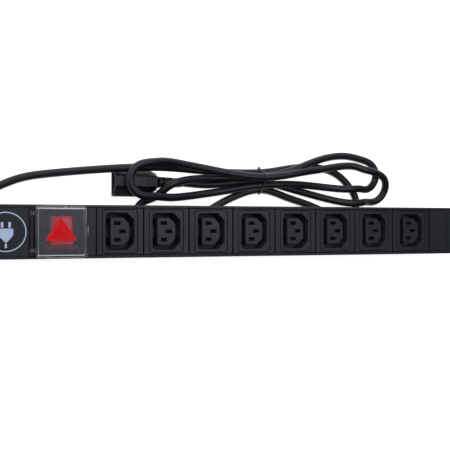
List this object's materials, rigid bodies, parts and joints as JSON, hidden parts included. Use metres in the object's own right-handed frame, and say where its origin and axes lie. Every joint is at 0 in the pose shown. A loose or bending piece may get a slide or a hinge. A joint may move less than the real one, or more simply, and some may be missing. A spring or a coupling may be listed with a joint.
{
  "type": "rack power strip",
  "caption": "Rack-mounted mains power strip with C13 outlets, a covered red rocker switch, rack ears and a tied black mains cord ending in a C14 plug.",
  "frame": {"origin": "middle of the footprint on the surface that the strip's rack ears stand on, without the cord", "axes": "+X along the strip from the switch end to the blank end, +Y across its face towards the cord's side, +Z out of the outlet face"},
  "size_m": [0.5359, 0.0997, 0.0625],
  "materials": {
    "channel_powder": "satin black powder coat over extruded aluminium",
    "module_plastic": "fine-grained dark grey moulded plastic",
    "outlet_plastic": "satin black moulded plastic",
    "badge": "glossy dark label with a pale blue print",
    "clear_cover": "clear smoky polycarbonate",
    "rocker_red": "translucent red plastic",
    "black_plastic": "satin black plastic",
    "neon_glass": "clear glass over an orange glow lamp",
    "steel": "bright nickel-plated steel",
    "brass": "plain brass strip",
    "tinned_copper": "dull tinned copper strip",
    "cord_pvc": "satin black flexible PVC",
    "wire_brown": "brown wire insulation",
    "wire_blue": "blue wire insulation",
    "wire_green": "green and yellow wire insulation"
  },
  "bodies": {
    "strip": {"housing_channel": "channel_powder", "rack_ear_left": "channel_powder", "rack_ear_right": "channel_powder", "end_cap_left": "module_plastic", "end_cap_right": "module_plastic", "label_panel": "module_plastic", "switch_bezel": "module_plastic", "blank_panel": "module_plastic", "label_badge": "badge", "switch_body": "black_plastic", "cord_gland": "black_plastic", "cord_tie": "black_plastic", "plug_pin_carrier": "black_plastic", "cover_hinge_pin": "module_plastic", "neon_lamp": "neon_glass", "earth_bond_screw": "steel", "plug_pin_live": "steel", "plug_pin_neutral": "steel", "plug_pin_earth": "steel", "ear_screw_left_1": "steel", "ear_screw_left_2": "steel", "ear_screw_right_1": "steel", "ear_screw_right_2": "steel", "terminal_live_in": "brass", "terminal_live_out": "brass", "terminal_neutral_in": "brass", "terminal_neutral_out": "brass", "bus_bar_live": "tinned_copper", "bus_bar_neutral": "tinned_copper", "bus_bar_earth": "tinned_copper", "power_cord": "cord_pvc", "cord_strain_relief": "cord_pvc", "plug_body": "cord_pvc", "plug_strain_relief": "cord_pvc", "wire_live_in": "wire_brown", "wire_live_out": "wire_brown", "wire_neutral_in": "wire_blue", "wire_neutral_out": "wire_blue", "wire_earth_in": "wire_green", "outlet_frame_1": "module_plastic", "outlet_socket_1": "outlet_plastic", "outlet_frame_2": "module_plastic", "outlet_socket_2": "outlet_plastic", "outlet_frame_3": "module_plastic", "outlet_socket_3": "outlet_plastic", "outlet_frame_4": "module_plastic", "outlet_socket_4": "outlet_plastic", "outlet_frame_5": "module_plastic", "outlet_socket_5": "outlet_plastic", "outlet_frame_6": "module_plastic", "outlet_socket_6": "outlet_plastic", "outlet_frame_7": "module_plastic", "outlet_socket_7": "outlet_plastic", "outlet_frame_8": "module_plastic", "outlet_socket_8": "outlet_plastic"},
    "cover": {"switch_cover": "clear_cover"},
    "rocker": {"switch_rocker": "rocker_red"},
    "blade_live": {"contact_blade_live": "brass"},
    "blade_neutral": {"contact_blade_neutral": "brass"}
  },
  "joints": [
    {"name": "cover_hinge", "type": "hinge", "parent": "strip", "child": "cover", "pos_m": [-0.1762, 0, 0.0555], "axis": [0, -1, 0], "range_deg": [0, 115]},
    {"name": "rocker_tilt", "type": "hinge", "parent": "strip", "child": "rocker", "pos_m": [-0.1525, 0, 0.048], "axis": [1, 0, 0], "range_deg": [0, 24]},
    {"name": "blade_live_tilt", "type": "hinge", "parent": "strip", "child": "blade_live", "pos_m": [-0.1575, 0, 0.041], "axis": [1, 0, 0], "range_deg": [-12, 0]},
    {"name": "blade_neutral_tilt", "type": "hinge", "parent": "strip", "child": "blade_neutral", "pos_m": [-0.1475, 0, 0.041], "axis": [1, 0, 0], "range_deg": [-12, 0]}
  ],
  "couplings": [
    {"joint": "blade_live_tilt", "follows": "rocker_tilt", "ratio": -0.5},
    {"joint": "blade_neutral_tilt", "follows": "rocker_tilt", "ratio": -0.5}
  ]
}
